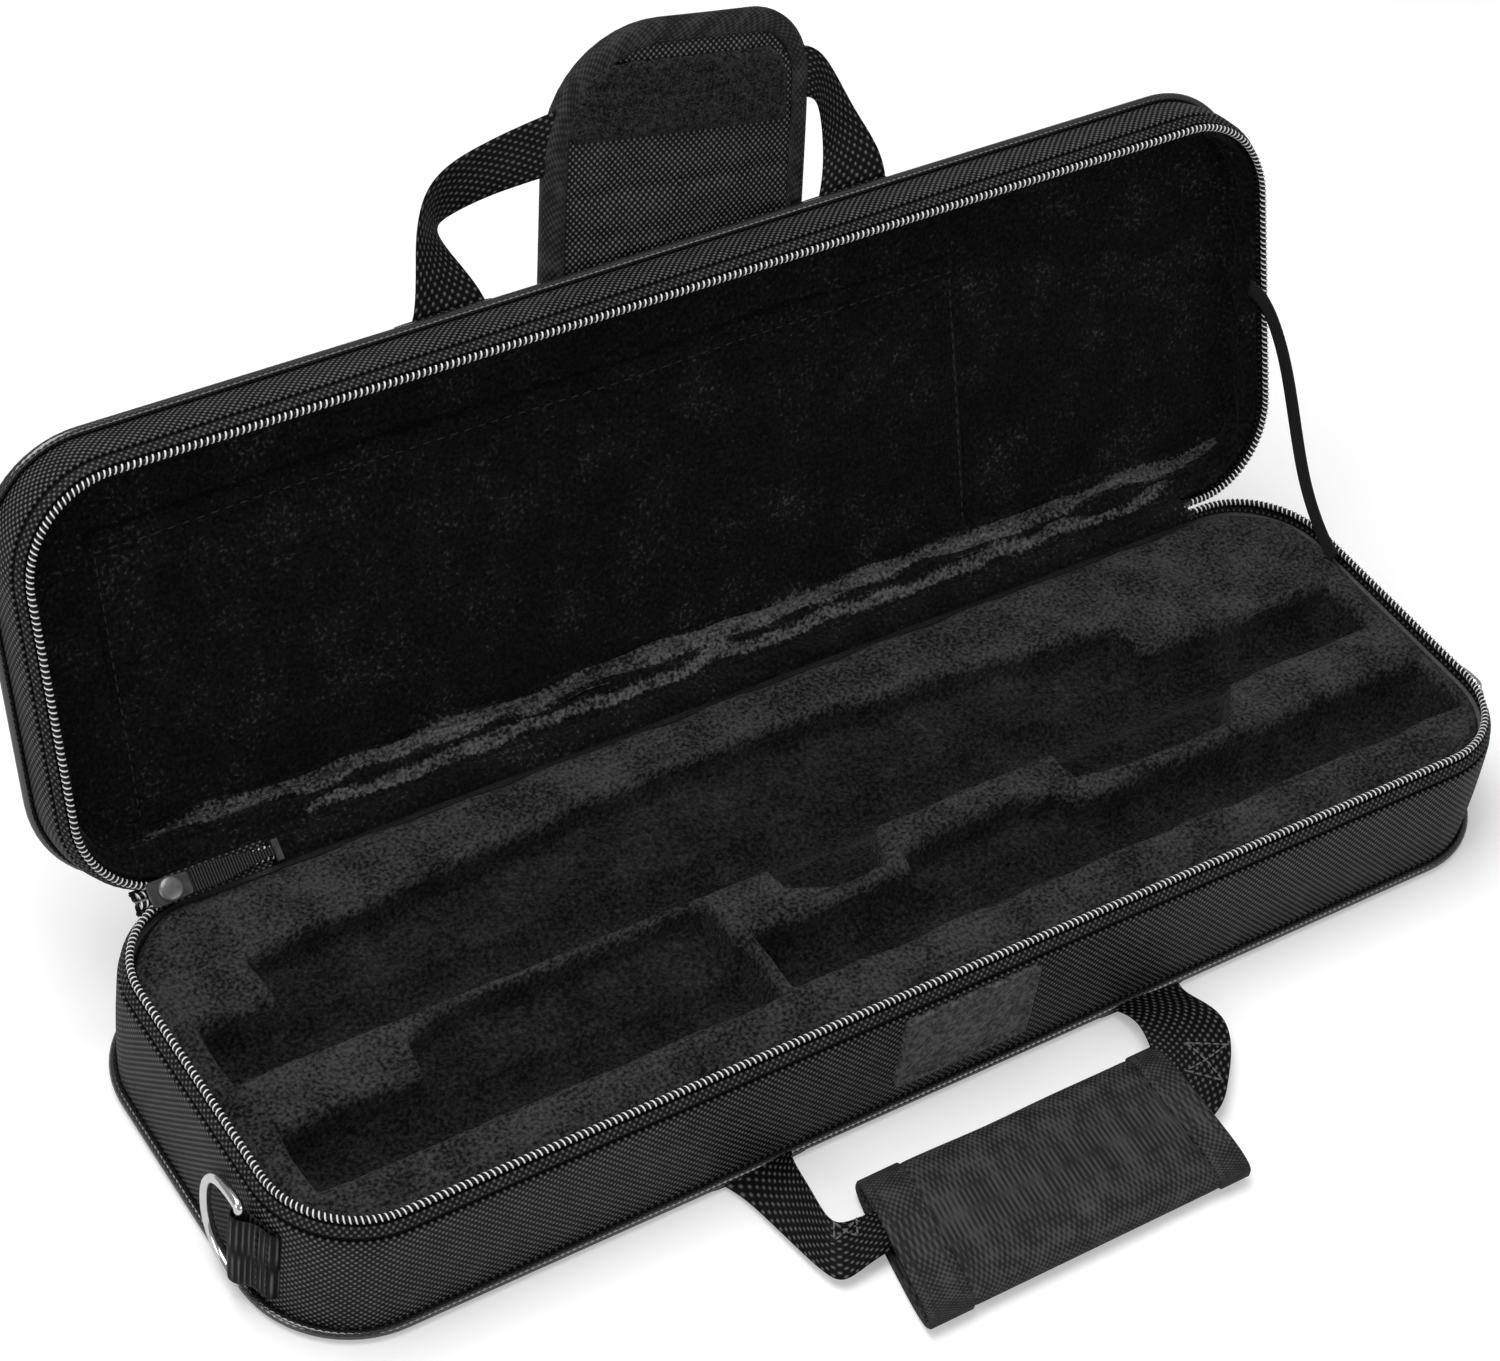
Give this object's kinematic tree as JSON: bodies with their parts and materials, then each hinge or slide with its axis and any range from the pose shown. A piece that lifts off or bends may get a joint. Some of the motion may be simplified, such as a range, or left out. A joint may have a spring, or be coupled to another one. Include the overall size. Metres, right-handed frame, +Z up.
{
  "type": "flute case",
  "caption": "Soft zipped case for a dismantled flute: boxy nylon shell, fitted plush bed, hinged padded lid with a pocket, webbing handles and strap rings.",
  "frame": {"origin": "middle of the flat bottom face that the case rests on", "axes": "+X along the case, +Y to the hinge at the back, +Z up"},
  "size_m": [0.4182, 0.283, 0.2159],
  "materials": {
    "cover_cloth": "plain-woven nylon with a fine dotted weave",
    "webbing": "ribbed nylon webbing",
    "stiffener": "plain foam board",
    "piping": "covered cord, slightly shiny",
    "zip_tape": "fine woven zip tape",
    "zip_coil": "moulded nylon coil, satin",
    "zip_metal": "dark enamelled zinc",
    "plush": "short charcoal plush",
    "lid_plush": "short black plush",
    "patch": "soft moulded patch, matt",
    "ring_metal": "nickel-plated steel wire",
    "ribbon": "thin woven ribbon",
    "sleeve_cloth": "nylon over thin padding",
    "fastener": "napped hook and loop tape"
  },
  "bodies": {
    "base": {"base_bottom_panel": "cover_cloth", "base_straps": "webbing", "base_bottom_board": "stiffener", "base_side_band": "cover_cloth", "base_wall_board": "stiffener", "base_piping": "piping", "base_zip_tape": "zip_tape", "base_zip_coil": "zip_coil", "base_zip_stop": "zip_metal", "flute_insert": "plush", "front_patch": "patch", "ring_tab_left": "webbing", "ring_tab_right": "webbing", "hinge_strip": "zip_tape"},
    "lid": {"lid_top_panel": "cover_cloth", "lid_straps": "webbing", "lid_board": "stiffener", "lid_side_band": "cover_cloth", "lid_wall_board": "stiffener", "lid_piping": "piping", "lid_lining": "lid_plush", "lid_pocket": "lid_plush", "lid_zip_tape": "zip_tape", "lid_zip_coil": "zip_coil", "lid_zip_stop": "zip_metal", "lid_stay": "ribbon"},
    "zip_chain": {"zip_chain": "zip_coil", "zip_bottom_stop": "zip_metal"},
    "zip_slider": {"zip_slider": "zip_metal"},
    "zip_puller": {"zip_puller": "zip_metal"},
    "base_handle": {"base_handle_loop": "webbing", "base_handle_sleeve": "sleeve_cloth"},
    "lid_handle": {"lid_handle_loop": "webbing", "grip_pad": "sleeve_cloth"},
    "grip_flap": {"grip_flap": "sleeve_cloth", "grip_hook_panel": "fastener"},
    "ring_left": {"d_ring_left": "ring_metal"},
    "ring_right": {"d_ring_right": "ring_metal"}
  },
  "joints": [
    {"name": "lid_hinge", "type": "hinge", "parent": "base", "child": "lid", "pos_m": [0, 0.0604, 0.046], "axis": [1, 0, 0], "range_deg": [0, 110], "deforming": ["hinge_strip", "lid_stay"]},
    {"name": "zip_chain_turn", "type": "hinge", "parent": "base", "child": "zip_chain", "pos_m": [0, 0.0604, 0.046], "axis": [1, 0, 0], "range_deg": [0, 55]},
    {"name": "zip_slide", "type": "slide", "parent": "zip_chain", "child": "zip_slider", "axis": [1, 0, 0], "range_m": [0, 0.025]},
    {"name": "zip_puller_swing", "type": "hinge", "parent": "zip_slider", "child": "zip_puller", "pos_m": [-0.178, 0.06533, 0.03895], "axis": [0, 0.8192, 0.5736], "range_deg": [-70, 70]},
    {"name": "base_handle_swing", "type": "hinge", "parent": "base", "child": "base_handle", "pos_m": [0, -0.0665, 0.0007], "axis": [-1, 0, 0], "range_deg": [0, 26]},
    {"name": "lid_handle_swing", "type": "hinge", "parent": "lid", "child": "lid_handle", "pos_m": [0, 0.12607, 0.15714], "axis": [1, 0, 0], "range_deg": [0, 26]},
    {"name": "grip_flap_fold", "type": "hinge", "parent": "lid_handle", "child": "grip_flap", "pos_m": [0, 0.14342, 0.20042], "axis": [1, 0, 0], "range_deg": [0, 150]},
    {"name": "ring_left_swing", "type": "hinge", "parent": "base", "child": "ring_left", "pos_m": [-0.2062, -0.035, 0.022], "axis": [0, 0, 1], "range_deg": [0, 150]},
    {"name": "ring_right_swing", "type": "hinge", "parent": "base", "child": "ring_right", "pos_m": [0.2062, -0.035, 0.022], "axis": [0, 0, -1], "range_deg": [0, 150]}
  ],
  "couplings": [
    {"joint": "zip_chain_turn", "follows": "lid_hinge", "ratio": 0.5}
  ]
}
